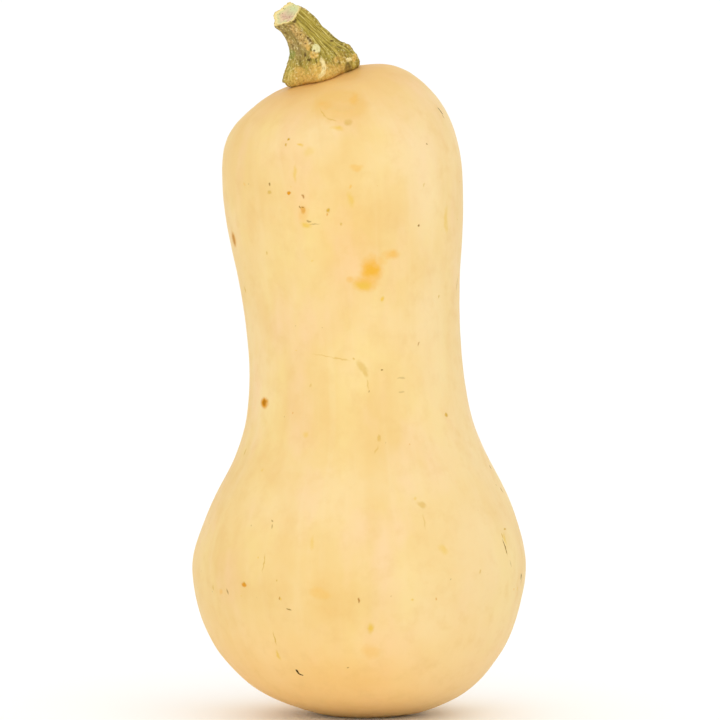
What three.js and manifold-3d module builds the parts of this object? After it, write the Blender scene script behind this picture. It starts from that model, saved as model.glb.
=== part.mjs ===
// A butternut squash with its cut stem, standing on the flattened patch at its blossom end.
// Millimetres, +Z up. The origin is the centre of the resting patch, and the stem leans towards -X.

import * as THREE from "three";
import { mergeVertices } from "three/addons/utils/BufferGeometryUtils.js";
import Module from "manifold-3d";

const wasm = await Module();
wasm.setup();

// ---------- driving dimensions of the fruit ----------
const REST_RADIUS = 14; // the flat patch it stands on
const BULB_RADIUS = 59.8; // the seed end, at its widest
const BULB_HEIGHT = 51;
const WAIST_RADIUS = 38.2; // the narrowest part of the neck
const WAIST_HEIGHT = 129;
const HEAD_RADIUS = 43.2; // the swelling at the stem end
const HEAD_HEIGHT = 193;
const CROWN_HEIGHT = 234; // the top of the dome, before it is tilted

const HEAD_LEAN = -6.6; // how far the head stands off the bulb's axis, along X
const BULB_LEAN = -1.8; // how far the bulb's axis stands off the resting patch, along X
const NECK_BOW = 2.4; // how far the neck bows along Y
const CROWN_TILT_X = 0.3; // slope of the crown, which sheds towards -X
const CROWN_TILT_Y = 0.1; // and towards -Y
const WELL_DEPTH = 1.1; // the hollow round the foot of the stem
const WELL_RADIUS = 17;
const WELL_CENTRE = new THREE.Vector2(-15, 0);
const LOBE_SHARE = 0.008; // the three seed chambers make the bulb faintly three-sided

// ---------- driving dimensions of the stem ----------
const CUT = new THREE.Vector3(-28.4, -4.8, 252.7); // the centre of its cut end
const CUT_NORMAL = new THREE.Vector3(-0.5, -0.52, 0.69).normalize();
const FOOT_LEAN = 17; // degrees that the foot's rings lean towards -X
const CUT_LEAN = 44; // and the rings past the cut
const FOOT_NOD = 3; // degrees that the same rings nod towards -Y
const CUT_NOD = 20;
const RIDGES = 5;
const RIDGE_TURN = -0.3; // turns the ridges about the stem's axis, in radians
const RIDGE_SHARE = 0.16; // height of a ridge as a share of the stem's radius
const TOE_SHARE = 0.08; // how much further a ridge stands out where it spreads into a toe
const FIT_GAP = 0.3; // between the stem's foot and the skin

// The stem from its root inside the fruit to a little past its cut: [x, y, z, outer radius].
const STEM_STATIONS = [
  [-14.4, 0.6, 224, 14.6],
  [-15, 0.2, 230.4, 14.6],
  [-16.2, -0.4, 233.9, 14.5],
  [-17.1, -1, 237.5, 12.4],
  [-18.5, -1.8, 240.4, 9.8],
  [-20, -2.4, 243.5, 7.9],
  [-22.2, -3.2, 246.7, 6.8],
  [-25.1, -4, 250, 6.3],
  [CUT.x, CUT.y, CUT.z, 5.8],
  [-32.6, -6.1, 257.6, 5.5],
];

// ---------- mesh fineness ----------
const FRUIT_SIDES = 56;
const FRUIT_RINGS = 46;
const STEM_SIDES = 40;
const STEM_RINGS = 24;

// Half of the fruit's outline as [radius, height], from the edge of the resting patch to the crown.
const FRUIT_OUTLINE = [
  [REST_RADIUS, 0],
  [32.4, 6],
  [43.2, 13.3],
  [54, 28.5],
  [BULB_RADIUS, BULB_HEIGHT],
  [58, 65],
  [53.2, 79],
  [45.6, 93.5],
  [40.2, 108],
  [WAIST_RADIUS, WAIST_HEIGHT],
  [39.2, 153],
  [41.9, 173],
  [HEAD_RADIUS, HEAD_HEIGHT],
  [41.3, 208],
  [34, 219.6],
  [20.6, 230],
  [0, CROWN_HEIGHT],
];

// 0 below start, 1 above end, and a smooth climb between.
function climb(value, start, end) {
  return THREE.MathUtils.smoothstep(value, start, end);
}

// A closed LatheGeometry about Z from an outline that starts and ends on the axis, moved by a warp.
function turned(outline, sides, warp) {
  const geometry = new THREE.LatheGeometry(outline, sides).rotateX(Math.PI / 2);
  geometry.deleteAttribute("normal");
  geometry.deleteAttribute("uv");
  const closed = mergeVertices(geometry, 1e-3);
  const position = closed.getAttribute("position");
  const point = new THREE.Vector3();
  for (let i = 0; i < position.count; i += 1) {
    point.fromBufferAttribute(position, i);
    warp(point);
    position.setXYZ(i, point.x, point.y, point.z);
  }
  return closed;
}

// The faint sides of the bulb, the lean of the neck, the tilt of the crown and the stem's well.
function shapeFruit(point) {
  const radius = Math.hypot(point.x, point.y);
  const angle = Math.atan2(point.y, point.x);
  const height = point.z;

  const bulb = climb(height, 0, 30) * (1 - climb(height, 60, 110));
  const lobes = 1 + LOBE_SHARE * bulb * Math.cos(3 * angle + Math.PI / 2);
  point.x *= lobes;
  point.y *= lobes;

  const crown = climb(height, 185, 218) * (1 - Math.min(radius / HEAD_RADIUS, 1)) ** 0.85;
  point.z += crown * (CROWN_TILT_X * point.x + CROWN_TILT_Y * point.y);

  point.x += BULB_LEAN * climb(height, 0, 26) + HEAD_LEAN * climb(height, 92, 208);
  point.y += NECK_BOW * climb(height, 40, 190);

  const fromStem = Math.hypot(point.x - WELL_CENTRE.x, point.y - WELL_CENTRE.y) / WELL_RADIUS;
  if (height > HEAD_HEIGHT) point.z -= WELL_DEPTH * Math.exp(-fromStem * fromStem);
}

function fruitGeometry() {
  const curve = new THREE.SplineCurve(FRUIT_OUTLINE.map(([r, z]) => new THREE.Vector2(r, z)));
  const outline = [new THREE.Vector2(0, 0), ...curve.getSpacedPoints(FRUIT_RINGS)];
  outline.at(-1).x = 0;
  return turned(outline, FRUIT_SIDES, shapeFruit);
}

// The same geometry grown outwards by a distance.
function grown(geometry, distance) {
  const larger = geometry.clone();
  larger.computeVertexNormals();
  const position = larger.getAttribute("position");
  const normal = larger.getAttribute("normal");
  for (let i = 0; i < position.count; i += 1) {
    position.setXYZ(
      i,
      position.getX(i) + distance * normal.getX(i),
      position.getY(i) + distance * normal.getY(i),
      position.getZ(i) + distance * normal.getZ(i),
    );
  }
  larger.deleteAttribute("normal");
  return larger;
}

function stemGeometry() {
  const axis = new THREE.CatmullRomCurve3(
    STEM_STATIONS.map(([x, y, z]) => new THREE.Vector3(x, y, z)),
    false,
    "catmullrom",
  );
  const girth = new THREE.SplineCurve(
    STEM_STATIONS.map(([, , , radius], index) => new THREE.Vector2(index, radius)),
  );
  const outline = [new THREE.Vector2(0, 0)];
  for (let ring = 0; ring <= STEM_RINGS; ring += 1) {
    outline.push(new THREE.Vector2(1, ring / STEM_RINGS));
  }
  outline.push(new THREE.Vector2(0, 1));

  const facing = new THREE.Vector3(); // the way a ring faces, and its two directions
  const beside = new THREE.Vector3();
  const across = new THREE.Vector3();
  return turned(outline, STEM_SIDES, (point) => {
    const share = THREE.MathUtils.clamp(point.z, 0, 1);
    const reach = Math.hypot(point.x, point.y);
    const angle = Math.atan2(point.y, point.x);
    const lean = THREE.MathUtils.degToRad(THREE.MathUtils.lerp(FOOT_LEAN, CUT_LEAN, share ** 2));
    const nod = THREE.MathUtils.degToRad(THREE.MathUtils.lerp(FOOT_NOD, CUT_NOD, share ** 2));
    facing.set(-Math.sin(lean), -Math.sin(nod), Math.cos(lean)).normalize();
    beside.set(0, 1, 0).cross(facing).normalize();
    across.crossVectors(facing, beside);

    const crest = Math.abs(Math.cos((RIDGES * (angle - RIDGE_TURN)) / 2)) ** 1.4;
    const toe = TOE_SHARE * (1 - climb(share, 0.2, 0.45));
    const radius = reach * girth.getPoint(share).y * (1 - (RIDGE_SHARE + toe) * (1 - crest));
    point.copy(axis.getPoint(share));
    point.addScaledVector(beside, radius * Math.cos(angle));
    point.addScaledVector(across, radius * Math.sin(angle));
  });
}

// A block whose one face lies on the stem's cut, with the waste end inside it.
function sawGeometry() {
  const size = 40;
  const turn = new THREE.Quaternion().setFromUnitVectors(new THREE.Vector3(0, 0, 1), CUT_NORMAL);
  const centre = CUT.clone().addScaledVector(CUT_NORMAL, size / 2);
  return new THREE.BoxGeometry(size, size, size).applyQuaternion(turn).translate(...centre);
}

// A closed geometry as a solid that can be cut.
function solidOf(geometry) {
  const bare = geometry.clone();
  bare.deleteAttribute("normal");
  bare.deleteAttribute("uv");
  const merged = mergeVertices(bare, 1e-4);
  return new wasm.Manifold(
    new wasm.Mesh({
      numProp: 3,
      vertProperties: merged.getAttribute("position").array,
      triVerts: new Uint32Array(merged.index.array),
    }),
  );
}

// And a solid as a geometry again.
function geometryOf(solid) {
  const mesh = solid.getMesh();
  const geometry = new THREE.BufferGeometry();
  geometry.setAttribute("position", new THREE.BufferAttribute(mesh.vertProperties, 3));
  geometry.setIndex(new THREE.BufferAttribute(mesh.triVerts, 1));
  geometry.computeVertexNormals();
  return geometry;
}

function namedMesh(name, geometry, material) {
  const mesh = new THREE.Mesh(geometry, material);
  mesh.name = name;
  return mesh;
}

// Hard dry skin, pale tan and faintly waxy.
function skinMaterial() {
  return new THREE.MeshStandardMaterial({ color: 0xf8d696, roughness: 0.55, metalness: 0 });
}

// Dried woody stem, olive over straw.
function stemMaterial() {
  return new THREE.MeshStandardMaterial({ color: 0xa8923a, roughness: 0.8, metalness: 0 });
}

const fruit = fruitGeometry();
const stem = solidOf(stemGeometry())
  .subtract(solidOf(sawGeometry()))
  .subtract(solidOf(grown(fruit, FIT_GAP)));

const squash = new THREE.Group();
squash.add(namedMesh("fruit", geometryOf(solidOf(fruit)), skinMaterial()));
squash.add(namedMesh("stem", geometryOf(stem), stemMaterial()));

export default squash;
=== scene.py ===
# %% [markdown]
# # A butternut squash
# The lesson makes one winter squash: a hard-skinned fruit grown in one piece, and the woody stalk by which
# it was cut from the vine. Both have a plain CAD solid already, which gives their size and place. Here each
# gets the surface of the real thing, built around its solid and nowhere two millimetres off it.

# %% Load the frame
import math
import random

import bmesh
import bpy
from mathutils import Matrix, Vector, noise


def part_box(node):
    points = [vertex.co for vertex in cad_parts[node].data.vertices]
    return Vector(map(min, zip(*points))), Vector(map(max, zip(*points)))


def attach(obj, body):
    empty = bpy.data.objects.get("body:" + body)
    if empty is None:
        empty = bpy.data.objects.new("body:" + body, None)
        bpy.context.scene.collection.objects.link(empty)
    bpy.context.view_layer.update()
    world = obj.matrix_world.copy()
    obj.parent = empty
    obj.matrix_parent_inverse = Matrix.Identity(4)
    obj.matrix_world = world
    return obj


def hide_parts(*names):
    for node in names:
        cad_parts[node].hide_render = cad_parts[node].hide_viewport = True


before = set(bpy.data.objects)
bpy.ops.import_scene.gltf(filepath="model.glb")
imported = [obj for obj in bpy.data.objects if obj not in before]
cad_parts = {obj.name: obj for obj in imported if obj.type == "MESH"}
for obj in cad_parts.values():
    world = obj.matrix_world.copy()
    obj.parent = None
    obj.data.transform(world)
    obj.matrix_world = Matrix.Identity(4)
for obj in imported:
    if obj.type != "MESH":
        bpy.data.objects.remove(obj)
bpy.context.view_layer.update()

CAD_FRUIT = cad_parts["fruit"]
CAD_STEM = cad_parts["stem"]
FRUIT_LOW, FRUIT_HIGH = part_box("fruit")
MM = 0.001
UP = Vector((0, 0, 1))
print("the fruit is", [round(side / MM, 1) for side in FRUIT_HIGH - FRUIT_LOW], "mm")

# %% [markdown]
# ## Measuring the solids
# A squash isn't quite a turned shape: its neck leans and its crown is tilted. So each ring of the new
# meshes is measured on the CAD solid, by rays sent out from the middle of the ring, and little is left to
# fit afterwards. A smooth step and a lumpy noise serve all the shapes that follow.

# %% Helpers for measuring and shaping
def smooth(value, start, end):
    """0 at start, 1 at end, and a smooth climb between them."""
    share = min(max((value - start) / (end - start), 0.0), 1.0)
    return share * share * (3 - 2 * share)


def lumps(point, size, octaves=2, seed=0.0):
    """Noise from about -1 to 1 whose lumps are size across, where size is a number or one for each axis."""
    sizes = size if isinstance(size, tuple) else (size, size, size)
    place = Vector([point[axis] / sizes[axis] + seed * (axis + 1) for axis in range(3)])
    return noise.fractal(place, 1.0, 2.0, octaves)


def ring_directions(facing, sides):
    """Unit vectors round a ring that faces a way, the first of them nearest to +X."""
    beside = Vector((0, 1, 0)).cross(facing).normalized()
    across = facing.cross(beside)
    turns = [2 * math.pi * side / sides for side in range(sides)]
    return [beside * math.cos(turn) + across * math.sin(turn) for turn in turns]


def ring_middle(solid, guess, facing):
    """The middle of a solid's section, from rays sent out from a guess at it."""
    hits = [solid.ray_cast(guess, direction) for direction in ring_directions(facing, 24)]
    places = [place for met, place, _, _ in hits if met]
    return sum(places, Vector()) / len(places)


def use_only(obj):
    """Deselects everything else, so that an operator acts on this object alone."""
    bpy.ops.object.select_all(action="DESELECT")
    obj.select_set(True)
    bpy.context.view_layer.objects.active = obj


def finish_modifier(obj, kind, **settings):
    """Adds a modifier with its settings and applies it."""
    use_only(obj)
    modifier = obj.modifiers.new(kind.lower(), kind)
    for name, value in settings.items():
        setattr(modifier, name, value)
    bpy.ops.object.modifier_apply(modifier=modifier.name)


def subdivide(obj, levels):
    """Subdivision Surface, applied."""
    finish_modifier(obj, "SUBSURF", levels=levels, render_levels=levels)


def begin_piece(name, sides, radius, facing, centre, tag):
    """A filled circle in edit mode, with an attribute that will hold each vertex's place on the piece."""
    bpy.ops.object.select_all(action="DESELECT")
    turn = UP.rotation_difference(facing).to_euler()
    bpy.ops.mesh.primitive_circle_add(
        vertices=sides, radius=radius, fill_type="NGON", location=centre, rotation=turn
    )
    bpy.ops.object.transform_apply(location=True, rotation=True, scale=True)
    piece = bpy.context.object
    piece.name = name
    piece.data.attributes.new(tag, "FLOAT_VECTOR", "POINT")
    bpy.ops.object.mode_set(mode="EDIT")
    return piece


def fit_ring(piece, centre, facing, share, tag, solid=None):
    """Tags the selected ring with its turn and its share of the way up; a solid draws it to its surface."""
    mesh = bmesh.from_edit_mesh(piece.data)
    place_on = mesh.verts.layers.float_vector[tag]
    beside, across = ring_directions(facing, 4)[:2]
    for vertex in [v for v in mesh.verts if v.select]:
        outward = vertex.co - centre
        outward = (outward - facing * outward.dot(facing)).normalized()
        vertex[place_on] = (outward.dot(beside), outward.dot(across), share)
        if solid:
            vertex.co = solid.ray_cast(centre, outward)[1]
    bmesh.update_edit_mesh(piece.data)


def raise_ring(piece, solid, start, centre, facing, share, tag):
    """Extrudes the selected face to a new middle, and draws it out to the solid's surface there."""
    bpy.ops.mesh.extrude_region_move(TRANSFORM_OT_translate={"value": centre - start})
    fit_ring(piece, centre, facing, share, tag, solid)


bpy.context.view_layer.update()

# %% [markdown]
# ## The fruit's body
# The fruit could be a turned outline, but its crown is tilted towards the stem, and a lathe can't tilt.
# So a circle the size of the resting patch is pulled up ring by ring, as a potter pulls up a wall. Over
# the shoulder the rings lean more and more, so that they close at one point under the stem, where the
# pole doesn't show. Shrinkwrap then lays the cage on the solid, and subdivision makes it smooth.

# %% Pull up the fruit's rings
FRUIT_SIDES = 32
UPRIGHT_RINGS = 24  # from the resting patch to the head
CROWN_RINGS = 9  # over the shoulder to the foot of the stem
REST_RADIUS = 14 * MM
HEAD_HEIGHT = 0.82 * FRUIT_HIGH.z
CROWN_LEAN = math.radians(15)

stem_root = CAD_FRUIT.ray_cast(Vector((-15 * MM, 0, 0.3)), -UP)[1]
head = ring_middle(CAD_FRUIT, Vector((0, 0, HEAD_HEIGHT)), UP)


def fruit_ring_plan():
    """Each ring's guessed middle, lean and share of the way up, from the resting patch to the stem."""
    total = UPRIGHT_RINGS + CROWN_RINGS
    for ring in range(1, UPRIGHT_RINGS + 1):
        share = ring / UPRIGHT_RINGS
        height = HEAD_HEIGHT * (0.35 * share**2 + 0.65 * share)  # closer together where the base curves most
        yield Vector((-3 * MM, 0, height)), 0.0, ring / total
    for ring in range(1, CROWN_RINGS):
        climb = math.sin(math.pi / 2 * ring / CROWN_RINGS)
        yield head.lerp(stem_root, climb), CROWN_LEAN * climb, (UPRIGHT_RINGS + ring) / total


BASE_RADII = [3 * MM, 6 * MM, 9 * MM, 12 * MM, REST_RADIUS]
fruit = begin_piece("squash_fruit", FRUIT_SIDES, BASE_RADII[0], UP, Vector((0, 0, 0)), "round_fruit")
fit_ring(fruit, Vector((0, 0, 0)), UP, 0, "round_fruit")
for inner, outer in zip(BASE_RADII, BASE_RADII[1:]):
    bpy.ops.mesh.extrude_region_move(TRANSFORM_OT_translate={"value": (0, 0, 0)})
    bpy.ops.transform.resize(value=(outer / inner, outer / inner, 1), center_override=(0, 0, 0))
    fit_ring(fruit, Vector((0, 0, 0)), UP, 0, "round_fruit")
start = Vector((0, 0, 0))
for guess, lean, share in fruit_ring_plan():
    facing = Vector((-math.sin(lean), 0, math.cos(lean)))
    middle = ring_middle(CAD_FRUIT, guess, facing)
    raise_ring(fruit, CAD_FRUIT, start, middle, facing, share, "round_fruit")
    start = middle
bpy.ops.mesh.poke()
bpy.ops.mesh.select_all(action="SELECT")
bpy.ops.mesh.normals_make_consistent(inside=False)
bpy.ops.object.mode_set(mode="OBJECT")

subdivide(fruit, 1)
finish_modifier(fruit, "SHRINKWRAP", target=CAD_FRUIT, wrap_method="NEAREST_SURFACEPOINT")
subdivide(fruit, 2)
print("the fruit's mesh has", len(fruit.data.vertices), "vertices")

# %% [markdown]
# ## The skin's relief
# A squash's skin is hard and nearly smooth, but it isn't a machined surface. It has broad flats and
# swellings from uneven growth, shallow dimples like hammered tin, ten very faint ribs over the seed end,
# and fine ridges that run from end to end. A sculptor would brush these in; here each vertex is moved
# along its normal by a height in millimetres, which gives the same result on every run.

# %% Shape the skin
FOOT_FACING = Vector((-math.sin(CROWN_LEAN), -0.05, math.cos(CROWN_LEAN))).normalized()
BLOSSOM_SCAR = 5.5 * MM
# A dent like a thumb's, below the stem.
DENT = CAD_FRUIT.ray_cast(Vector((-8.6, -200, 224.6)) * MM, Vector((0, 1, 0)))[1]
axis_low = ring_middle(CAD_FRUIT, Vector((0, 0, 0.2 * FRUIT_HIGH.z)), UP)


def axis_at(height):
    """The point on the fruit's own leaning axis at a height."""
    return axis_low.lerp(head, smooth(height, axis_low.z, head.z))


SKIN_SWELLS = [  # millimetres across, deep and up, how far it reaches, height in millimetres
    (-48.0, 0.0, 84.0, 30.0, -1.2),
    (-60.0, 0.0, 42.0, 30.0, 1.0),
    (22.0, -4.0, 2.0, 22.0, 0.9),
    (27.0, 0.0, 222.0, 18.0, 0.6),
]


def swelling(point, swells):
    """The sum in millimetres of the gentle swells and hollows, each fading out from its middle."""
    total = 0
    for *middle, reach, height in swells:
        total += height * (1 - smooth((point / MM - Vector(middle)).length, 0, reach))
    return total


def skin_relief(point):
    """How far the skin stands out from the smooth body at a point, in millimetres."""
    centre = axis_at(point.z)
    angle = math.atan2(point.y - centre.y, point.x - centre.x)
    radius = math.hypot(point.x - centre.x, point.y - centre.y)
    meridian = Vector((math.cos(angle), math.sin(angle), point.z / 0.3))

    relief = 0.2 + 0.35 * lumps(point, (46 * MM, 46 * MM, 80 * MM), 2, seed=3.1)  # uneven growth
    relief += swelling(point, SKIN_SWELLS)
    relief += 0.12 * lumps(point, 12 * MM, 2, seed=8.4)  # hammered dimples
    ribs = smooth(point.z, 0.01, 0.05) * (1 - smooth(point.z, 0.09, 0.13))
    relief += 0.12 * ribs * math.cos(10 * angle + 0.8 * lumps(meridian, 1.0, 1, seed=2.2))
    relief += 0.012 * lumps(meridian, (0.12, 0.12, 0.3), 2, seed=5.7)  # fine ridges, end to end

    low_radius = math.hypot(point.x, point.y)
    base = 1 - smooth(point.z, 0.5 * MM, 4 * MM)
    resting = base * (1 - smooth(low_radius, 8 * MM, 22 * MM))
    relief *= 1 - resting  # it rests on a true flat
    if base > 0:
        relief -= 1.1 * base * (1 - smooth(low_radius, 0.3 * BLOSSOM_SCAR, 1.5 * BLOSSOM_SCAR))
        relief += 0.5 * base * (1 - smooth(low_radius, 0, 0.35 * BLOSSOM_SCAR))

    from_foot = point - stem_root
    out = (from_foot - FOOT_FACING * from_foot.dot(FOOT_FACING)).length
    if point.z > head.z and out < 40 * MM:
        turn = math.atan2(from_foot.y, from_foot.x)
        pucker = 0.16 * math.cos(5 * turn + 0.9) * (1 - smooth(out, 16 * MM, 36 * MM))
        groove = -0.2 * math.exp(-(((out - 17.5 * MM) / (3 * MM)) ** 2))
        relief += (pucker + groove) * smooth(out, 6 * MM, 14 * MM)
    apart = (point - DENT).length + 0.8 * MM * lumps(point, 5 * MM, 2, seed=4.9)
    if apart < 14 * MM:
        relief -= 0.4 * (1 - smooth(apart, 5 * MM, 9 * MM))
        rim = math.exp(-(((apart - 9.4 * MM) / (1.2 * MM)) ** 2))
        relief += 0.22 * rim * smooth(DENT.z - point.z, 0, 4 * MM)
    return relief


def move_along_normals(piece, relief_of):
    """Moves each vertex along its normal by relief_of(index, place) millimetres, never into the floor."""
    mesh = piece.data
    moved = []
    for index, vertex in enumerate(mesh.vertices):
        x, y, z = vertex.co + vertex.normal * (relief_of(index, vertex.co) * MM)
        moved.extend((x, y, max(z, 0)))
    mesh.vertices.foreach_set("co", moved)
    mesh.update()


move_along_normals(fruit, lambda index, place: skin_relief(place))
use_only(fruit)
bpy.ops.object.shade_smooth()
print("the skin's lowest point is at", round(min(v.co.z for v in fruit.data.vertices) / MM, 3), "mm")

# %% [markdown]
# ## The stem's body
# The stalk is cut from the vine a finger's breadth above the fruit. It is five-ridged, bends over as it
# grew, and spreads into toes where it grips the skin. It could be sculpted from a block, but its ridges
# run its whole length, so it is pulled up ring by ring too, from inside the skin to the plane of the cut.
# The rings slowly turn to face the way the cut does. The cut end is inset into a rim, a ring and a pith.

# %% Pull up the stem's rings
STEM_SIDES = 40  # eight to a ridge
STEM_RINGS = 15
FOOT_CLEAR = 2.2 * MM  # the first ring measured stands this far above the skin
SUNK = 0.7 * MM  # the stem's foot starts this far inside the skin


def largest_flat(solid):
    """The middle and the normal of a solid's largest flat face, from its triangles."""
    groups = {}
    for face in solid.data.polygons:
        key = tuple(round(part, 2) for part in face.normal)
        area, middle, _ = groups.get(key, (0.0, Vector(), None))
        groups[key] = (area + face.area, middle + face.center * face.area, face.normal.copy())
    area, middle, normal = max(groups.values(), key=lambda group: group[0])
    return middle / area, normal


cut_middle, cut_facing = largest_flat(CAD_STEM)
print("the stem's cut is at", [round(part / MM, 1) for part in cut_middle])


def stem_ring(share):
    """A ring's guessed middle and its facing: up out of the skin, then over towards the cut."""
    low = stem_root + FOOT_FACING * FOOT_CLEAR
    bend = low + FOOT_FACING * 12 * MM
    approach = cut_middle - Vector((-0.62, -0.18, 0.76)) * 10 * MM
    rest = 1 - share
    middle = (
        low * rest**3
        + bend * (3 * rest**2 * share)
        + approach * (3 * rest * share**2)
        + cut_middle * share**3
    )
    return middle, FOOT_FACING.lerp(cut_facing, share**2).normalized()


stem = begin_piece("squash_stem", STEM_SIDES, 12 * MM, FOOT_FACING, stem_root, "round_stem")
start = stem_root
for ring in range(STEM_RINGS + 1):
    share = ring / STEM_RINGS
    if ring == STEM_RINGS:
        share = 0.995
    guess, facing = stem_ring(share)
    middle = ring_middle(CAD_STEM, guess, facing)
    raise_ring(stem, CAD_STEM, start, middle, facing, share, "round_stem")
    start = middle

# %% Inset the cut end, and close the foot inside the skin
CUT_STEPS = [  # thickness and depth of each inset in millimetres, and the place it is given on the piece
    (0.25, 0.0, 1.02),
    (0.4, 0.0, 1.1),
    (0.5, -0.35, 1.25),
    (1.2, -0.15, 1.5),
    (1.4, 0.1, 1.8),
]


def mark_selected(piece, tag, share):
    """Gives the selected corners a new share of the way along the piece."""
    mesh = bmesh.from_edit_mesh(piece.data)
    place_on = mesh.verts.layers.float_vector[tag]
    for vertex in [v for v in mesh.verts if v.select]:
        vertex[place_on].z = share
    bmesh.update_edit_mesh(piece.data)


for thickness, depth, share in CUT_STEPS:
    bpy.ops.mesh.inset(thickness=thickness * MM, depth=depth * MM)
    mark_selected(stem, "round_stem", share)
bpy.ops.mesh.poke()
bpy.ops.mesh.select_all(action="SELECT")
bpy.ops.mesh.normals_make_consistent(inside=False)
bpy.ops.object.mode_set(mode="OBJECT")

places = stem.data.attributes["round_stem"].data
for index in range(STEM_SIDES):
    above = stem.data.vertices[index + STEM_SIDES].co
    met, place, normal, _ = CAD_FRUIT.ray_cast(above + FOOT_FACING * 5 * MM, -FOOT_FACING)
    stem.data.vertices[index].co = place - normal * SUNK
    turn = places[index + STEM_SIDES].vector
    places[index].vector = (turn.x, turn.y, -0.1)
hub = max(
    stem.data.vertices,
    key=lambda v: (v.co - cut_middle).dot(cut_facing) - 10 * (v.co - cut_middle).length,
)
places[hub.index].vector = (0, 0, 2)
subdivide(stem, 3)
print("the stem's mesh has", len(stem.data.vertices), "vertices")

# %% [markdown]
# ## The stem's relief
# A dried stalk is all texture: sharp ridges with fibres running along them, cork where it was bruised,
# lumps where the toes grip the skin, and beads of dried sap. Its mesh has a vertex about every fifth of
# a millimetre, so all of that can be real shape. Each vertex also keeps how corky, golden, grey, pale, sappy,
# dark, green or rough it is, so that the colours sit exactly on the shapes that they belong to.

# %% Shape the stem
RIDGES = 5
RIDGE_TURN = -0.3  # where the first ridge lies, in radians, as on the solid
STEM_GIRTH = 7.0  # the stem's usual radius in millimetres, for patterns that run round it
STEM_LENGTH = 27.0  # and its length

STEM_FEATURES = [  # kind, millimetres across and up, half its width and height, degrees of turn, height
    ("sap", -17.4, 240.2, 1.5, 1.8, 10, 1.1),  # a bead of dried sap
    ("pale", -15.3, 235.6, 0.7, 1.7, 22, 0.6),  # and the run below it
    ("pale", -14.6, 233.6, 0.8, 1.8, 8, 0.6),
    ("pale", -15.0, 231.9, 0.9, 1.5, -22, 0.6),
    ("pale", -15.8, 230.9, 0.8, 0.8, 0, 0.5),
    ("gold", -20.5, 241.2, 1.0, 2.0, 20, 0.5),
    ("gold", -18.2, 238.2, 1.7, 1.5, 0, 0.5),
    ("dark", -17.9, 239.2, 0.35, 0.35, 0, -0.3),
    ("dark", -20.0, 243.6, 0.5, 1.3, 40, -0.8),
    ("dark", -25.2, 250.4, 1.0, 0.8, 35, -0.7),
    ("dark", -21.6, 238.2, 0.5, 0.8, 0, -0.5),
    ("dark", -20.0, 236.4, 0.6, 0.4, 0, -0.4),
    ("dark", -11.6, 243.4, 0.8, 0.35, 0, 0.0),
    ("dark", -9.0, 241.0, 1.3, 0.3, -30, -0.2),
    ("dark", -6.6, 229.8, 1.7, 0.6, 20, -0.6),  # under the last toe
    ("brown", -6.0, 233.0, 1.4, 2.5, 0, 0.6),
    ("pale", -5.8, 236.4, 1.2, 0.8, 0, 0.4),
    ("gold", -4.0, 237.0, 0.7, 1.4, 0, 0.4),
    ("green", -26.4, 238.2, 1.5, 1.9, 0, 0.0),
]
STEM_SWELLS = [  # millimetres across, deep and up, how far it reaches, height in millimetres
    (-10.0, -5.0, 243.5, 6.0, -0.8),
    (-14.0, -5.0, 248.0, 6.0, -0.7),
    (-29.0, -5.0, 228.0, 7.0, 0.8),
    (-32.6, -6.0, 253.0, 4.0, -1.5),
    (-7.0, -8.0, 230.6, 5.0, 1.2),
]
LOOKS = ("cork", "gold", "grey", "pale", "sap", "dark", "green", "rough")
places = [Vector(item.vector) for item in stem.data.attributes["round_stem"].data]


def turn_of(tag):
    """Degrees round the stem: 0 to the right, -90 to the front."""
    return math.degrees(math.atan2(tag.y, tag.x))


def about(angle, middle, spread):
    """1 where an angle is at the middle of a sector, and 0 past its spread."""
    apart = abs((angle - middle + 180) % 360 - 180)
    return 1 - smooth(apart, 0.4 * spread, spread)


def feature_share(feature, point):
    """1 at a feature's middle on the front of the stem, 0 past its edge, rounded like a bead."""
    _, across, up, half_width, half_height, degrees, _ = feature
    ragged = 0.25 * lumps(point, 0.9 * MM, 2, seed=4.4)
    sideways, upward = point.x / MM - across, point.z / MM - up
    turn = math.radians(degrees)
    along = (sideways * math.cos(turn) + upward * math.sin(turn)) / half_width
    over = (upward * math.cos(turn) - sideways * math.sin(turn)) / half_height
    inside = 1 - (along * along + over * over) + ragged
    return math.sqrt(min(inside, 1.0)) if inside > 0 else 0.0


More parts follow.
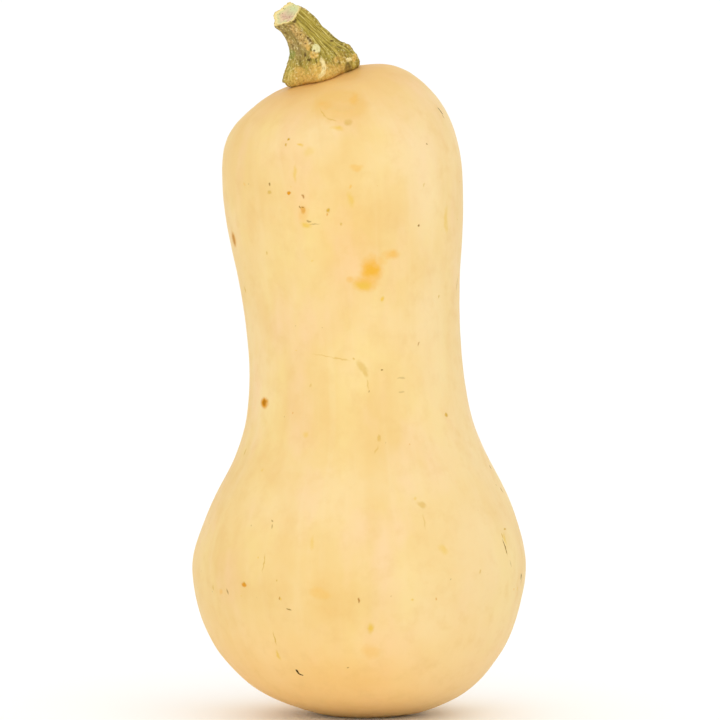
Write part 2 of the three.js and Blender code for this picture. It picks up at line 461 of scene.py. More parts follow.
def stem_looks(point, tag, normal):
    """The relief in millimetres at a point, and how much it has of each look."""
    angle, share = turn_of(tag), tag.z
    crest = abs(math.cos(RIDGES * (math.radians(angle) - RIDGE_TURN) / 2))
    along = Vector((STEM_GIRTH * tag.x, STEM_GIRTH * tag.y, STEM_LENGTH * share))
    fibres = lumps(along, (0.8, 0.8, 8.0), 3, seed=1.6)
    foot = 1 - smooth(share, 0.1, 0.42)
    upper = smooth(share, 0.1, 0.4)

    cork = about(angle, -101, 25) * smooth(share, 0.35, 0.5) * (1 - smooth(share, 0.93, 1.0))
    cork = max(cork, 0.8 * smooth(lumps(along, (3.0, 3.0, 7.0), 2, seed=7.7), 0.35, 0.6) * upper * crest)
    grey = about(angle, -150, 62) * (0.7 + 0.3 * smooth(fibres, -0.4, 0.3)) * upper
    gold = (1 - smooth(share + 0.1 * lumps(point, 3 * MM, 2, seed=6.1), 0.02, 0.16)) * about(angle, -94, 76)
    gold = max(gold, 0.35 * foot * smooth(lumps(point, 2.2 * MM, 2, seed=9.3), 0.1, 0.45))
    looks = {**dict.fromkeys((*LOOKS, "brown"), 0.0), "cork": cork, "gold": gold, "grey": grey}

    relief = 0.7 * upper * (crest**6 - 0.3) * (1 - smooth(share, 0.95, 1.0) * 0.5)
    relief += 0.24 * fibres * (1 - 0.5 * foot)
    relief += 0.3 * lumps(point, 4.5 * MM, 2, seed=2.9)
    relief += 0.4 * foot * lumps(point, 1.7 * MM, 3, seed=5.2)
    crumbs = lumps(point, 1.1 * MM, 2, seed=8.8)
    relief += cork * (0.25 + 0.5 * crumbs)
    looks["dark"] = 0.8 * cork * smooth(-crumbs, 0.25, 0.5)
    weathered = max(cork, grey, 0.9 * foot, smooth(crest, 0.8, 1.0))
    looks["rough"] = (0.15 + 0.85 * weathered) * (1 - 0.35 * gold)
    if normal.y < 0.2:
        for feature in STEM_FEATURES:
            inside = feature_share(feature, point)
            relief += feature[6] * inside
            looks[feature[0]] = max(looks[feature[0]], smooth(inside, 0.1, 0.6))
        looks["rough"] *= 1 - 0.8 * max(looks["sap"], looks["brown"])
    return relief, looks


def cut_relief(point, tag):
    """The relief of the cut end in millimetres: a torn rim, and a soft pith full of pits."""
    inward = tag.z - 1
    torn = 0.25 * lumps(point, 1.4 * MM, 2, seed=3.3) * (1 - smooth(inward, 0.3, 0.6))
    pith = 0.22 * lumps(point, 0.8 * MM, 2, seed=6.6) * smooth(inward, 0.1, 0.3)
    return torn + pith


stem_reliefs, stem_masks = [], {name: [] for name in LOOKS}
for vertex, tag in zip(stem.data.vertices, places):
    relief, looks = stem_looks(vertex.co, tag, vertex.normal)
    if tag.z > 1:
        edge = smooth(tag.z, 1.0, 1.1)
        relief = relief * (1 - edge) + cut_relief(vertex.co, tag) * edge
    relief = 0 if tag.z < 0 else relief + swelling(vertex.co, STEM_SWELLS)
    looks["dark"] = max(looks["dark"], 0.75 * looks["brown"])
    stem_reliefs.append(relief)
    for name in LOOKS:
        stem_masks[name].append(looks[name])
move_along_normals(stem, lambda index, place: stem_reliefs[index])
for name, values in stem_masks.items():
    stem.data.attributes.new(name, "FLOAT", "POINT").data.foreach_set("value", values)
use_only(stem)
bpy.ops.object.shade_smooth()

# %% [markdown]
# ## Ways to paint
# The squash's three materials are grown from noise at the sizes that the real surface has. One function
# adds a node with its settings and links, and another starts a material on a piece.

# %% Helpers for materials
def linear(code):
    """The linear colour of an sRGB hex code."""
    parts = [int(code[start : start + 2], 16) / 255 for start in (0, 2, 4)]
    return tuple(p / 12.92 if p <= 0.04045 else ((p + 0.055) / 1.055) ** 2.4 for p in parts) + (1.0,)


def add(tree, kind, inputs, **settings):
    """Adds a node; inputs maps a socket's name or number to a value or to the output that feeds it."""
    made = tree.nodes.new(kind)
    for name, value in settings.items():
        setattr(made, name, value)
    for socket, value in inputs.items():
        if isinstance(value, bpy.types.NodeSocket):
            tree.links.new(value, made.inputs[socket])
        else:
            made.inputs[socket].default_value = value
    return made


def new_material(name, piece, **uniform):
    """A material on a piece, with the values that are the same all over it, its tree and its shader."""
    material = bpy.data.materials.new(name)
    material.use_nodes = True
    piece.data.materials.append(material)
    shader = material.node_tree.nodes["Principled BSDF"]
    for socket, value in uniform.items():
        shader.inputs[socket.replace("_", " ")].default_value = value
    return material.node_tree, shader


# %% [markdown]
# ## The marks on the skin
# What makes a squash look real is its history: amber patches, beads of sap that dried to yellow dots,
# scratches healed to cork, a scar where it lay against a leaf. The marks that stand out on the front are
# placed one by one. The specks among them, and all that the other sides have, come from a seeded draw.
# Each mark is a small ellipse laid on the surface, found by turning the place that is being shaded into
# the mark's own frame and measuring how far from its middle it lies.

# %% Place the marks
# The marks that stand out on the front, each placed to the millimetre. The broad faint clouds come last.
FRONT_MARKS = [  # kind, millimetres across and up, half its width and height, degrees of turn, strength
    # the dent below the stem, coloured with a faint stain and painted shade in its hollow, the amber beside
    # it and the fine scratches under it
    ("dent_stain_and_shade", -9, 221, 9.4, 8.2, 0, 0.6),
    ("amber", -4, 223, 2.0, 4.0, 0, 0.4),
    ("amber", -14, 221, 2.6, 2.6, 0, 0.3),
    ("olive", -15, 218, 0.3, 3.0, 38, 0.5),
    ("olive", -12, 216, 2.5, 0.3, -16, 0.5),
    ("olive", -6, 215, 1.7, 1.6, 0, 0.5),
    ("yellow", -10, 213, 2.4, 1.4, -10, 0.7),
    # the nick on the right shoulder
    ("dark", 27, 218, 0.4, 1.8, 24, 0.9),
    ("brown", 28, 216, 0.3, 1.0, 10, 0.7),
    ("brown", 22, 207, 0.4, 0.3, 0, 0.6),
    # the freckles on the left shoulder
    ("olive", -27, 209, 0.6, 0.6, 0, 1.0),
    ("olive", -28, 207, 0.4, 0.7, -20, 0.8),
    ("yellow", -23, 207, 1.1, 0.8, -20, 1.0),
    ("yellow", -20, 205, 2.2, 1.8, 0, 0.4),
    ("yellow", -25, 197, 0.9, 3.6, 0, 0.5),
    ("brown", -34, 193, 0.4, 0.7, 0, 0.8),
    ("olive", -34, 190, 1.1, 0.8, 10, 0.6),
    ("orange", -27, 190, 0.8, 0.8, 0, 1.0),
    # the healed scratch with its beads of sap
    ("brown", -23, 185, 0.3, 0.6, 30, 0.8),
    ("brown", -22, 185, 0.5, 0.3, 0, 0.8),
    ("orange", -22, 184, 1.0, 1.6, 0, 0.7),
    ("amber", -22, 183, 2.4, 4.2, 0, 0.4),
    ("olive", -13, 184, 0.6, 1.0, 0, 0.9),
    ("brown", -20, 180, 0.9, 0.4, -10, 0.7),
    ("brown", -18, 179, 1.9, 0.2, 4, 0.5),
    ("yellow", -21, 179, 2.1, 1.3, 0, 0.9),
    # the streak and the dot on the right of the head
    ("yellow", 29, 180, 1.5, 5.6, 0, 0.6),
    ("brown", 19, 178, 0.4, 0.5, 0, 1.0),
    ("amber", -3, 199, 2.8, 1.3, 0, 0.4),
    ("yellow", -5, 188, 1.5, 3.0, 0, 0.5),
    # the corky rub on the left of the neck
    ("cork", -47, 172, 1.5, 2.4, 14, 0.5),
    ("orange", -47, 172, 2.6, 2.9, 10, 0.6),
    # the amber patch on the front of the neck
    ("amber", 9, 168, 3.6, 2.2, -4, 0.6),
    ("amber", 5, 166, 3.0, 2.6, 0, 0.5),
    ("amber", 3, 164, 3.4, 5.0, 0, 1.0),
    ("amber", 2, 163, 4.4, 6.2, 0, 1.0),
    ("amber", 0, 158, 5.6, 3.2, 0, 0.7),
    ("amber", -5, 159, 2.0, 1.8, 0, 0.6),
    ("yellow", -1, 157, 3.6, 1.7, 0, 0.6),
    ("yellow", 6, 152, 0.7, 1.3, -20, 0.9),
    ("brown", 33, 156, 0.3, 2.3, -14, 0.6),
    ("olive", -43, 154, 0.4, 1.4, 14, 0.7),
    # the long scratch across the waist and the scrape below it
    ("olive", -15, 132, 4.2, 0.2, -8, 0.4),
    ("olive", -9, 131, 3.7, 0.3, -9, 0.4),
    ("olive", -4, 131, 0.5, 0.5, 0, 0.7),
    ("olive", -1, 128, 1.4, 3.2, 38, 0.4),
    ("olive", 0, 126, 1.0, 1.9, 20, 0.4),
    ("olive", 1, 122, 0.3, 2.2, 6, 0.4),
    ("brown", 6, 127, 0.4, 0.4, 0, 0.8),
    ("brown", 13, 124, 1.5, 0.4, 0, 0.3),
    ("brown", 13, 119, 1.1, 0.3, 0, 0.3),
    # the wart on the left of the waist
    ("cork", -36, 114, 1.4, 1.2, 0, 0.7),
    ("orange", -36, 114, 2.9, 2.1, 0, 1.0),
    # the scattered spots where the neck meets the bulb
    ("olive", 29, 110, 0.8, 0.8, 0, 0.8),
    ("yellow", -21, 104, 1.9, 1.2, 0, 0.5),
    ("olive", 5, 103, 0.8, 1.3, 0, 0.5),
    ("olive", 4, 99, 0.4, 1.8, -30, 0.4),
    ("olive", -43, 96, 0.6, 1.7, 0, 0.6),
    ("brown", 45, 90, 0.4, 1.0, 30, 0.7),
    ("brown", 49, 82, 0.4, 1.2, 22, 0.7),
    ("yellow", 18, 82, 1.0, 0.8, 0, 0.6),
    ("olive", 20, 80, 1.7, 1.4, -30, 0.5),
    # the diamond on the right of the bulb and the dark nick below it
    ("olive", 50, 69, 1.1, 0.4, 0, 0.8),
    ("olive", 49, 67, 0.4, 1.2, 10, 0.8),
    ("yellow", 50, 66, 1.0, 2.8, 0, 0.6),
    ("brown", 50, 63, 0.4, 2.9, 8, 0.9),
    ("brown", 52, 57, 0.2, 1.5, 14, 0.5),
    ("dark", 56, 51, 0.6, 1.1, 6, 0.8),
    ("brown", 56, 49, 0.4, 1.1, -10, 0.7),
    # the spots and streaks across the bulb
    ("olive", 21, 74, 0.4, 2.9, 0, 0.4),
    ("yellow", 28, 64, 1.7, 2.7, 32, 0.5),
    ("yellow", -19, 67, 0.9, 2.6, 0, 0.4),
    ("brown", -33, 74, 0.3, 0.7, 40, 0.6),
    ("brown", -33, 72, 0.3, 0.9, 4, 0.6),
    ("olive", -36, 59, 0.2, 4.0, 0, 0.6),
    ("orange", -43, 51, 1.3, 1.0, 0, 0.9),
    ("amber", -16, 49, 5.0, 2.9, 0, 0.4),
    ("brown", -49, 48, 0.3, 1.2, 14, 0.6),
    ("brown", -27, 43, 1.0, 0.3, -14, 0.8),
    ("yellow", 2, 37, 1.5, 2.6, 0, 0.8),
    ("olive", -32, 32, 0.3, 2.6, 4, 0.7),
    ("yellow", -31, 26, 0.7, 1.8, 0, 0.7),
    ("amber", 2, 28, 3.4, 3.2, 0, 0.4),
    ("brown", -6, 22, 0.4, 0.4, 0, 0.8),
    # the bent scar near the floor
    ("dark", -24, 20, 0.4, 1.1, 28, 1.0),
    ("dark", -23, 19, 0.4, 1.1, 56, 1.0),
    # broad faint clouds
    ("pale", -16, 209, 8, 10, 0, 0.12),
    ("pale", 21, 194, 9, 28, 0, 0.14),
    ("amber", -22, 186, 9, 12, 0, 0.1),
    ("amber", -7, 173, 13, 20, 0, 0.16),
    ("pale", 24, 140, 8, 28, 0, 0.12),
    ("pale", 12, 88, 10, 14, 0, 0.08),
    ("pale", 41, 60, 12, 24, 0, 0.12),
    ("amber", -12, 47, 14, 12, 0, 0.12),
    ("amber", -5, 19, 20, 9, 0, 0.12),
]
OTHER_MARKS = 46
FRONT_SPECKS = 50  # smaller marks among those placed one by one
SPECK_SHARE = 0.4  # their size as a share of a mark of the same kind
MARK_REACH = 1.25  # a mark fades out this many times its size from its middle
MARK_KINDS = {  # kind: half its width and height in millimetres at most, and how often it is drawn
    "brown": (0.5, 1.5, 12),
    "olive": (1.1, 2.6, 10),
    "yellow": (1.6, 3.2, 8),
    "amber": (5.0, 6.5, 4),
    "orange": (1.0, 1.8, 4),
    "cork": (1.1, 3.0, 3),
    "dark": (0.5, 1.6, 2),
}


def place_mark(start, towards, half_width, half_height, degrees, strength):
    """A mark where a ray meets the fruit: its middle, its turn as angles, its size and its strength."""
    met, middle, normal, _ = fruit.ray_cast(start, towards)
    upward = (UP - normal * normal.z).normalized()
    level = Matrix((upward.cross(normal), -normal, upward)).transposed()
    turned = Matrix.Rotation(math.radians(degrees), 3, normal) @ level
    depth = max(2.0, 0.7 * half_width, 0.35 * half_height)
    return middle, turned.to_euler(), Vector((half_width, depth, half_height)) * MARK_REACH * MM, strength


marks = {kind: [] for kind in (*MARK_KINDS, "pale", "dent_stain_and_shade")}
for kind, across, up, half_width, half_height, degrees, strength in FRONT_MARKS:
    start = Vector((across * MM, -0.2, up * MM))
    marks[kind].append(place_mark(start, Vector((0, 1, 0)), half_width, half_height, degrees, strength))

draw = random.Random(17)


def scatter(count, first_turn, last_turn, share):
    """Draws marks between two turns round the fruit, in degrees: 0 is the right side, 90 the back."""
    for _ in range(count):
        kind = draw.choices(list(MARK_KINDS), [often for _, _, often in MARK_KINDS.values()])[0]
        widest, tallest, _ = MARK_KINDS[kind]
        turn = math.radians(draw.uniform(first_turn, last_turn))
        outward = Vector((math.cos(turn), math.sin(turn), 0))
        start = axis_at(draw.uniform(0.06, 0.9) * FRUIT_HIGH.z) + outward * 0.2
        size = share * draw.uniform(0.35, 1)
        height = tallest * size * draw.uniform(0.4, 1)
        angle, strength = draw.uniform(-40, 40), draw.uniform(0.35, 0.9)
        marks[kind].append(place_mark(start, -outward, widest * size, height, angle, strength))


scatter(OTHER_MARKS, 5, 175, 1)
scatter(FRONT_SPECKS, 190, 350, SPECK_SHARE)
print("marks on the skin:", {kind: len(places) for kind, places in marks.items()})


def marks_mask(tree, place, kind_marks, solid_share):
    """How strongly any of a kind's marks covers each place; a mark is solid up to solid_share of its size."""
    mask = 0.0
    for middle, turn, size, strength in kind_marks:
        ball = add(tree, "ShaderNodeTexGradient", {"Vector": place}, gradient_type="SPHERICAL")
        frame_of_mark = ball.texture_mapping
        frame_of_mark.vector_type = "TEXTURE"
        frame_of_mark.translation, frame_of_mark.rotation, frame_of_mark.scale = middle, turn, size
        cover = add(
            tree,
            "ShaderNodeMapRange",
            {"Value": ball.outputs["Fac"], 1: 0.0, 2: 1 - solid_share, 3: 0.0, 4: strength},
            interpolation_type="SMOOTHSTEP",
            clamp=False,
        )
        mask = add(tree, "ShaderNodeMath", {0: cover.outputs[0], 1: mask}, operation="MAXIMUM").outputs[0]
    return mask


# %% [markdown]
# ## The skin
# A ripe butternut's skin is a hard, dry rind under a trace of wax: it scatters light softly and has hardly
# any shine. Its tan is a cloud of straw and cream under blushes of peach, lemon, honey and cream. It is
# deeper honey near the stem. Under the belly it is painted warmer, peach and a little lighter, as painted
# fill light against the shade there. It is paler on the right side, partly its own tone and partly painted
# light.

# %% Paint the skin
FACTOR, FIRST, SECOND = 0, 6, 7  # a Mix node's sockets when it mixes colours
skin, skin_shader = new_material(
    "butternut_rind_waxy",
    fruit,
    IOR=1.45,
    Metallic=0.0,
    Subsurface_Weight=0.04,
    Subsurface_Scale=0.004,
)
skin_place = add(skin, "ShaderNodeTexCoord", {}).outputs["Object"]
meridian = add(skin, "ShaderNodeAttribute", {}, attribute_name="round_fruit").outputs["Vector"]
split = add(skin, "ShaderNodeSeparateXYZ", {"Vector": skin_place})

cloud = add(
    skin, "ShaderNodeTexNoise", {"Vector": skin_place, "Scale": 24.0, "Detail": 4.0, "Roughness": 0.55}
)
colour = add(skin, "ShaderNodeValToRGB", {"Fac": cloud.outputs[0]})
ramp = colour.color_ramp.elements
ramp[0].position, ramp[0].color = 0.33, linear("E1BD78")
ramp[1].position, ramp[1].color = 0.68, linear("E8CB91")
ramp.new(0.5).color = linear("E5C583")
colour = colour.outputs[0]

# Blushes of peach, lemon, cream and honey lie over it. Each is a noise with its own place, size and stretch,
# and the last two run from end to end.
BLUSHES = [  # how fine it is across and along, the noise that it starts to show at, colour, how much of it
    (skin_place, (58, 58, 26), 0.49, "EAC69A", 0.6),
    (skin_place, (46, 46, 20), 0.50, "E9D18A", 0.6),
    (skin_place, (80, 80, 46), 0.53, "DFB56E", 0.35),
    (meridian, (5, 5, 3), 0.50, "DFB66F", 0.22),
    (meridian, (10, 10, 4), 0.54, "EAD3A5", 0.14),
]
for turn, (place, fineness, start, tint, most) in enumerate(BLUSHES):
    stretched = add(
        skin, "ShaderNodeMapping", {"Vector": place, "Location": (turn, 2 * turn, 0), "Scale": fineness}
    )
    blush = add(skin, "ShaderNodeTexNoise", {"Vector": stretched.outputs[0], "Scale": 1.0, "Detail": 3.0})
    cover = add(
        skin, "ShaderNodeMapRange", {"Value": blush.outputs[0], 1: start, 2: start + 0.2, 3: 0.0, 4: most}
    )
    colour = add(
        skin,
        "ShaderNodeMix",
        {FACTOR: cover.outputs[0], FIRST: colour, SECOND: linear(tint)},
        data_type="RGBA",
    ).outputs[2]

# Under the belly the colour is painted warmer, more peach and a little lighter towards the floor: painted
# fill light against the shade there. Honey round the stem. Paler on the right side, partly the skin's own
# tone and partly painted light from the right.
belly_painted_fill_light = add(
    skin,
    "ShaderNodeMapRange",
    {"Value": split.outputs["Z"], 1: 0.0, 2: 0.05, 3: 0.85, 4: 0.0},
    interpolation_type="SMOOTHSTEP",
)
from_stem = add(skin, "ShaderNodeVectorMath", {0: skin_place, 1: stem_root}, operation="DISTANCE")
near_stem = add(
    skin,
    "ShaderNodeMapRange",
    {"Value": from_stem.outputs["Value"], 1: 0.012, 2: 0.046, 3: 0.85, 4: 0.0},
    interpolation_type="SMOOTHSTEP",
)
# Paler towards the right: partly the skin's own tone, partly painted light from the right side.
right_pale_and_painted_light = add(
    skin,
    "ShaderNodeMapRange",
    {"Value": split.outputs["X"], 1: 0.004, 2: 0.034, 3: 0.0, 4: 0.4},
    interpolation_type="SMOOTHSTEP",
)
for cover, tint in ((belly_painted_fill_light, "F2C57E"), (near_stem, "DFAD60"), (right_pale_and_painted_light, "EAD19C")):
    colour = add(
        skin,
        "ShaderNodeMix",
        {FACTOR: cover.outputs[0], FIRST: colour, SECOND: linear(tint)},
        data_type="RGBA",
    ).outputs[2]

# Fine mottling, a few millimetres across.
mottle = add(
    skin, "ShaderNodeTexNoise", {"Vector": skin_place, "Scale": 150.0, "Detail": 5.0, "Roughness": 0.6}
)
mottled = add(skin, "ShaderNodeMapRange", {"Value": mottle.outputs[0], 1: 0.50, 2: 0.75, 3: 0.0, 4: 0.3})
colour = add(
    skin,
    "ShaderNodeMix",
    {FACTOR: mottled.outputs[0], FIRST: colour, SECOND: linear("DCB36F")},
    data_type="RGBA",
).outputs[2]

# Pin-prick specks: one cell in five of a 13 mm honeycomb holds a dot less than a millimetre across.
cells = add(skin, "ShaderNodeTexVoronoi", {"Vector": skin_place, "Scale": 77.0})
dot = add(
    skin, "ShaderNodeMapRange", {"Value": cells.outputs["Distance"], 1: 0.015, 2: 0.035, 3: 1.0, 4: 0.0}
)
chosen = add(skin, "ShaderNodeMath", {0: cells.outputs["Color"], 1: 0.8}, operation="GREATER_THAN")
speck = add(skin, "ShaderNodeMath", {0: dot.outputs[0], 1: chosen.outputs[0]}, operation="MULTIPLY")
speck = add(skin, "ShaderNodeMath", {0: speck.outputs[0], 1: 0.5}, operation="MULTIPLY")
colour = add(
    skin,
    "ShaderNodeMix",
    {FACTOR: speck.outputs[0], FIRST: colour, SECOND: linear("9F7835")},
    data_type="RGBA",
).outputs[2]

# The marks, with edges torn by two sizes of noise.
wandering = skin_place
for scale, reach in ((170.0, 3.6), (520.0, 1.3)):
    wander = add(skin, "ShaderNodeTexNoise", {"Vector": skin_place, "Scale": scale, "Detail": 2.0})
    centred = add(
        skin,
        "ShaderNodeVectorMath",
        {0: wander.outputs["Color"], 1: (0.5, 0.5, 0.5)},
        operation="SUBTRACT",
    )
    push = add(
        skin, "ShaderNodeVectorMath", {0: centred.outputs[0], "Scale": reach * MM}, operation="SCALE"
    )
    moved = add(skin, "ShaderNodeVectorMath", {0: wandering, 1: push.outputs[0]}, operation="ADD")
    wandering = moved.outputs[0]
fine = add(skin, "ShaderNodeVectorMath", {0: skin_place, 1: push.outputs[0]}, operation="ADD").outputs[0]
patchy = add(
    skin, "ShaderNodeMapRange", {"Value": mottle.outputs[0], 1: 0.38, 2: 0.56, 3: 0.75, 4: 1.0}
).outputs[0]
MARK_PAINT = [  # kind, colour, how much of it is solid, whether it wanders with the coarse noise
    # the dent: a faint stain with painted shade in the hollow
    ("dent_stain_and_shade", "E0B562", 0.6, True),
    ("amber", "E4AA33", 0.22, True),
    ("yellow", "DEB537", 0.2, True),
    ("orange", "D08A06", 0.4, False),
    ("olive", "C69B24", 0.3, False),
    ("pale", "F2E5C5", 0.4, False),
    ("cork", "A06412", 0.4, False),
    ("brown", "855E0D", 0.45, False),
    ("dark", "392500", 0.6, False),
]
raised, dry = 0.0, 0.0
for kind, tint, solid_share, wanders in MARK_PAINT:
    mask = marks_mask(skin, wandering if wanders else fine, marks[kind], solid_share)
    mask = add(skin, "ShaderNodeMath", {0: mask, 1: patchy}, operation="MULTIPLY").outputs[0]
    colour = add(
        skin, "ShaderNodeMix", {FACTOR: mask, FIRST: colour, SECOND: linear(tint)}, data_type="RGBA"
    ).outputs[2]
    if kind in ("orange", "olive", "cork"):
        raised = add(skin, "ShaderNodeMath", {0: mask, 1: raised}, operation="ADD").outputs[0]
    if kind in ("orange", "olive", "cork", "brown", "dark"):
        dry = add(skin, "ShaderNodeMath", {0: mask, 1: dry}, operation="MAXIMUM").outputs[0]

# The corky scar that the flower left under the belly.
from_scar = add(skin, "ShaderNodeVectorMath", {0: fine}, operation="LENGTH")
scar = add(
    skin,
    "ShaderNodeMapRange",
    {"Value": from_scar.outputs["Value"], 1: 0.004, 2: 0.0075, 3: 0.85, 4: 0.0},
)
colour = add(
    skin,
    "ShaderNodeMix",
    {FACTOR: scar.outputs[0], FIRST: colour, SECOND: linear("926D39")},
    data_type="RGBA",
).outputs[2]
skin.links.new(colour, skin_shader.inputs["Base Color"])

gloss = add(skin, "ShaderNodeMapRange", {"Value": mottle.outputs[0], 1: 0.3, 2: 0.7, 3: 0.46, 4: 0.58})
skin.links.new(gloss.outputs[0], skin_shader.inputs["Roughness"])
# Healed marks have no wax.
waxy = add(skin, "ShaderNodeMapRange", {"Value": dry, 1: 0.0, 2: 0.7, 3: 0.25, 4: 0.02})
skin.links.new(waxy.outputs[0], skin_shader.inputs["Specular IOR Level"])
pores = add(skin, "ShaderNodeTexNoise", {"Vector": skin_place, "Scale": 900.0, "Detail": 3.0})
height = add(skin, "ShaderNodeMath", {0: pores.outputs[0], 1: 0.25}, operation="MULTIPLY")
height = add(skin, "ShaderNodeMath", {0: mottle.outputs[0], 1: height.outputs[0]}, operation="ADD")
height = add(skin, "ShaderNodeMath", {0: height.outputs[0], 1: raised}, operation="ADD")
bump = add(skin, "ShaderNodeBump", {"Height": height.outputs[0], "Distance": 0.15 * MM, "Strength": 0.6})
skin.links.new(bump.outputs[0], skin_shader.inputs["Normal"])

# %% [markdown]
# ## The stalk
# The stalk is green wood that has dried: olive where the rind holds, straw along the fibres, brown in the
# grooves, tan and crumbly where it turned to cork. Its foot is as golden as the skin it grips. It is dry
# and dull all over, and the fibres' own relief is too fine for the mesh, so the last of it is bump.

# %% Paint the stalk
rind, rind_shader = new_material("stalk_rind_dried", stem, IOR=1.45, Metallic=0.0, Specular_IOR_Level=0.25)
round_stem = add(rind, "ShaderNodeAttribute", {}, attribute_name="round_stem").outputs["Vector"]
stalk_place = add(rind, "ShaderNodeTexCoord", {}).outputs["Object"]
stretched = add(rind, "ShaderNodeMapping", {"Vector": round_stem, "Scale": (12, 12, 2.6)})
fibre = add(
    rind,
    "ShaderNodeTexNoise",
    {"Vector": stretched.outputs[0], "Scale": 1.0, "Detail": 6.0, "Roughness": 0.7},
)
stalk = add(rind, "ShaderNodeValToRGB", {"Fac": fibre.outputs[0]})
ramp = stalk.color_ramp.elements
ramp[0].position, ramp[0].color = 0.33, linear("5A4A14")
ramp[1].position, ramp[1].color = 0.68, linear("E0D084")
ramp.new(0.44).color = linear("8C7A28")
ramp.new(0.56).color = linear("B29E42")
stalk = stalk.outputs[0]
STALK_TINTS = [  # attribute, colour, how much of it shows at most
    ("grey", "9C8454", 0.85),
    ("green", "76903A", 0.5),
    ("gold", "DCB05A", 0.9),
    ("cork", "CFAA66", 0.85),
    ("pale", "F0DC9C", 1.0),
    ("sap", "E2DAA0", 1.0),
    ("dark", "543A14", 0.9),
]
speckle = add(rind, "ShaderNodeTexNoise", {"Vector": stalk_place, "Scale": 900.0, "Detail": 3.0})
for name, tint, most in STALK_TINTS:
    painted = add(rind, "ShaderNodeAttribute", {}, attribute_name=name)
    uneven = add(
        rind, "ShaderNodeMapRange", {"Value": speckle.outputs[0], 1: 0.35, 2: 0.6, 3: 0.6 * most, 4: most}
    )
    cover = add(
        rind, "ShaderNodeMath", {0: painted.outputs["Fac"], 1: uneven.outputs[0]}, operation="MULTIPLY"
    )
    stalk = add(
        rind,
        "ShaderNodeMix",
        {FACTOR: cover.outputs[0], FIRST: stalk, SECOND: linear(tint)},
        data_type="RGBA",
    ).outputs[2]

# Crumbs of cork lie on the ridges, the foot and the weathered side, pale ones and dark ones.
crumbs = add(rind, "ShaderNodeTexNoise", {"Vector": stalk_place, "Scale": 1250.0, "Detail": 3.0})
crumbly = add(rind, "ShaderNodeAttribute", {}, attribute_name="rough").outputs["Fac"]
for start, end, tint, most in ((0.56, 0.68, "EEDFA4", 0.65), (0.44, 0.33, "503A16", 0.6)):
    cover = add(
        rind, "ShaderNodeMapRange", {"Value": crumbs.outputs[0], 1: start, 2: end, 3: 0.0, 4: most}
    )
    cover = add(rind, "ShaderNodeMath", {0: cover.outputs[0], 1: crumbly}, operation="MULTIPLY")
    stalk = add(
        rind,
        "ShaderNodeMix",
        {FACTOR: cover.outputs[0], FIRST: stalk, SECOND: linear(tint)},
        data_type="RGBA",
    ).outputs[2]
rind.links.new(stalk, rind_shader.inputs["Base Color"])
rind_shader.inputs["Roughness"].default_value = 0.72
fine_fibre = add(rind, "ShaderNodeMath", {0: fibre.outputs[0], 1: speckle.outputs[0]}, operation="ADD")
bump = add(
    rind, "ShaderNodeBump", {"Height": fine_fibre.outputs[0], "Distance": 0.2 * MM, "Strength": 0.8}
)
rind.links.new(bump.outputs[0], rind_shader.inputs["Normal"])

# %% [markdown]
# ## The cut end
# The cut shows the inside of the stalk: a hard straw-coloured rim, a ring still faintly green, and a pith
# the colour of biscuit with pits in it. It is a material of its own on the faces past the rim.

# %% Paint the cut end
wood, wood_shader = new_material("stalk_cut_pith", stem, IOR=1.45, Metallic=0.0, Specular_IOR_Level=0.2)
round_stem = add(wood, "ShaderNodeAttribute", {}, attribute_name="round_stem").outputs["Vector"]
wood_place = add(wood, "ShaderNodeTexCoord", {}).outputs["Object"]
crumb = add(wood, "ShaderNodeTexNoise", {"Vector": wood_place, "Scale": 700.0, "Detail": 4.0})
inward = add(wood, "ShaderNodeSeparateXYZ", {"Vector": round_stem}).outputs["Z"]
shaken = add(wood, "ShaderNodeMath", {0: crumb.outputs[0], 1: 0.25, 2: inward}, operation="MULTIPLY_ADD")
ringed = add(wood, "ShaderNodeMapRange", {"Value": shaken.outputs[0], 1: 1.0, 2: 2.1})
cut = add(wood, "ShaderNodeValToRGB", {"Fac": ringed.outputs[0]})
ramp = cut.color_ramp.elements
ramp[0].position, ramp[0].color = 0.08, linear("A8883C")
ramp[1].position, ramp[1].color = 0.9, linear("D2AE94")
ramp.new(0.15).color = linear("E6CF88")
ramp.new(0.3).color = linear("E9D89C")
ramp.new(0.42).color = linear("CFCB94")
ramp.new(0.62).color = linear("DDC49C")
cut = cut.outputs[0]
green_side = add(
    wood,
    "ShaderNodeVectorMath",
    {0: wood_place, 1: cut_middle + Vector((1.8, 0, 2.6)) * MM},
    operation="DISTANCE",
)
greened = add(
    wood,
    "ShaderNodeMapRange",
    {"Value": green_side.outputs["Value"], 1: 0.0015, 2: 0.0042, 3: 0.7, 4: 0.0},
)
pits = add(wood, "ShaderNodeTexVoronoi", {"Vector": wood_place, "Scale": 1000.0})
pitted = add(
    wood, "ShaderNodeMapRange", {"Value": pits.outputs["Distance"], 1: 0.12, 2: 0.3, 3: 0.75, 4: 0.0}
)
few = add(wood, "ShaderNodeMath", {0: pits.outputs["Color"], 1: 0.52}, operation="GREATER_THAN")
pitted = add(wood, "ShaderNodeMath", {0: pitted.outputs[0], 1: few.outputs[0]}, operation="MULTIPLY")
for cover, tint in ((greened, "C4CF98"), (pitted, "5E4622")):
    cut = add(
        wood,
        "ShaderNodeMix",
        {FACTOR: cover.outputs[0], FIRST: cut, SECOND: linear(tint)},
        data_type="RGBA",
    ).outputs[2]
wood.links.new(cut, wood_shader.inputs["Base Color"])
wood_shader.inputs["Roughness"].default_value = 0.8
bump = add(wood, "ShaderNodeBump", {"Height": crumb.outputs[0], "Distance": 0.3 * MM, "Strength": 0.8})
wood.links.new(bump.outputs[0], wood_shader.inputs["Normal"])
for face in stem.data.polygons:
    face.material_index = int(min(places[corner].z for corner in face.vertices) >= 1.0)

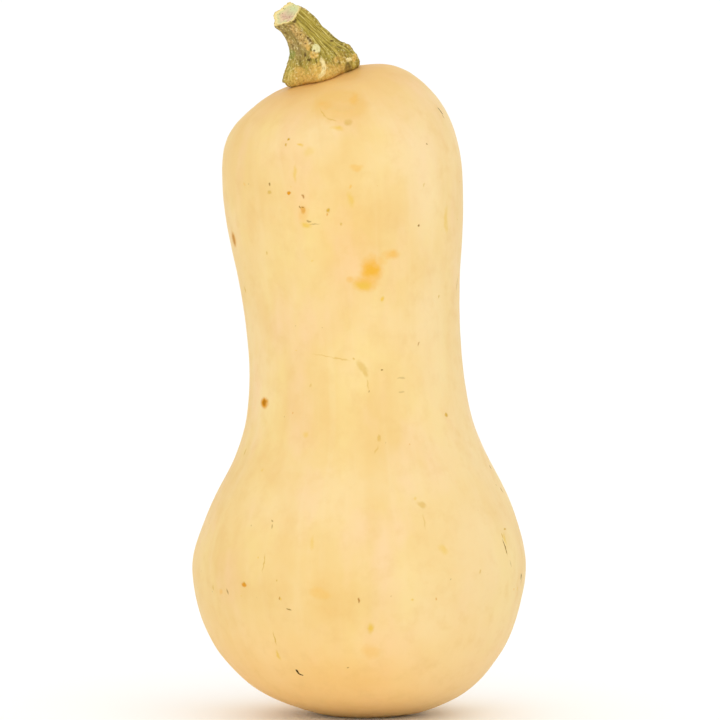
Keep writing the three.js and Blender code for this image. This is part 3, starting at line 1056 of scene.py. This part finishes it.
# %% [markdown]
# ## Floor, light and camera
# A pale sheet of paper reaches far past the squash, so no edge of it draws the eye. The light is that of a
# white studio: it comes from everywhere, with one large soft lamp high at the right to round the shape,
# and a smaller one low in front, as a white card would, to open the shade under the belly. The camera
# looks very slightly down from far off through a long lens, so the outline is close to the true one.

# %% Floor, light and camera
bpy.ops.object.select_all(action="DESELECT")
bpy.ops.mesh.primitive_plane_add(size=24.0, location=(0, 0, -0.2 * MM))
floor = bpy.context.object
floor.name = "studio_floor"
bpy.ops.object.transform_apply(location=True, rotation=True, scale=True)
_, paper_shader = new_material("studio_paper", floor)
paper_shader.inputs["Base Color"].default_value = linear("FDFDFC")
paper_shader.inputs["Roughness"].default_value = 0.9

world = bpy.data.worlds.new("studio_white")
bpy.context.scene.world = world
world.use_nodes = True
world.node_tree.nodes["Background"].inputs["Color"].default_value = (1, 1, 1, 1)
world.node_tree.nodes["Background"].inputs["Strength"].default_value = 1.05
LAMPS = [  # where it hangs, its side, its power: one high at the right, one low in front that fills
    (Vector((0.7, -1.2, 1.1)), 1.4, 2.4),
    (Vector((-0.4, -1.3, 0.3)), 0.8, 2.4),
]
for place, side, power in LAMPS:
    lamp_turn = (Vector((0, 0, 0.08)) - place).to_track_quat("-Z", "Y").to_euler()
    bpy.ops.object.light_add(type="AREA", location=place, rotation=lamp_turn)
    bpy.context.object.data.size = side
    bpy.context.object.data.energy = power
bpy.context.scene.view_settings.view_transform = "Standard"

VIEW_WIDTH = 259.2 * MM  # what the camera takes in at the squash's axis
LENS = 400.0
SENSOR = 36.0
TARGET = Vector((-1.8 * MM, 0, 128.0 * MM))
ELEVATION = math.radians(4)
away = Vector((0, -math.cos(ELEVATION), math.sin(ELEVATION)))
bpy.ops.object.camera_add(
    location=TARGET + away * (VIEW_WIDTH * LENS / SENSOR), rotation=(math.pi / 2 - ELEVATION, 0, 0)
)
camera = bpy.context.object
camera.data.lens = LENS
camera.data.sensor_width = SENSOR
bpy.context.scene.camera = camera

# %% [markdown]
# ## Handing over
# Each piece is told which body it moves with, and the CAD solid that it stands for is hidden.

# %% Hand over
for piece, node, slot in ((fruit, "fruit", "skin"), (stem, "stem", "stem")):
    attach(piece, "root")
    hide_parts(node)
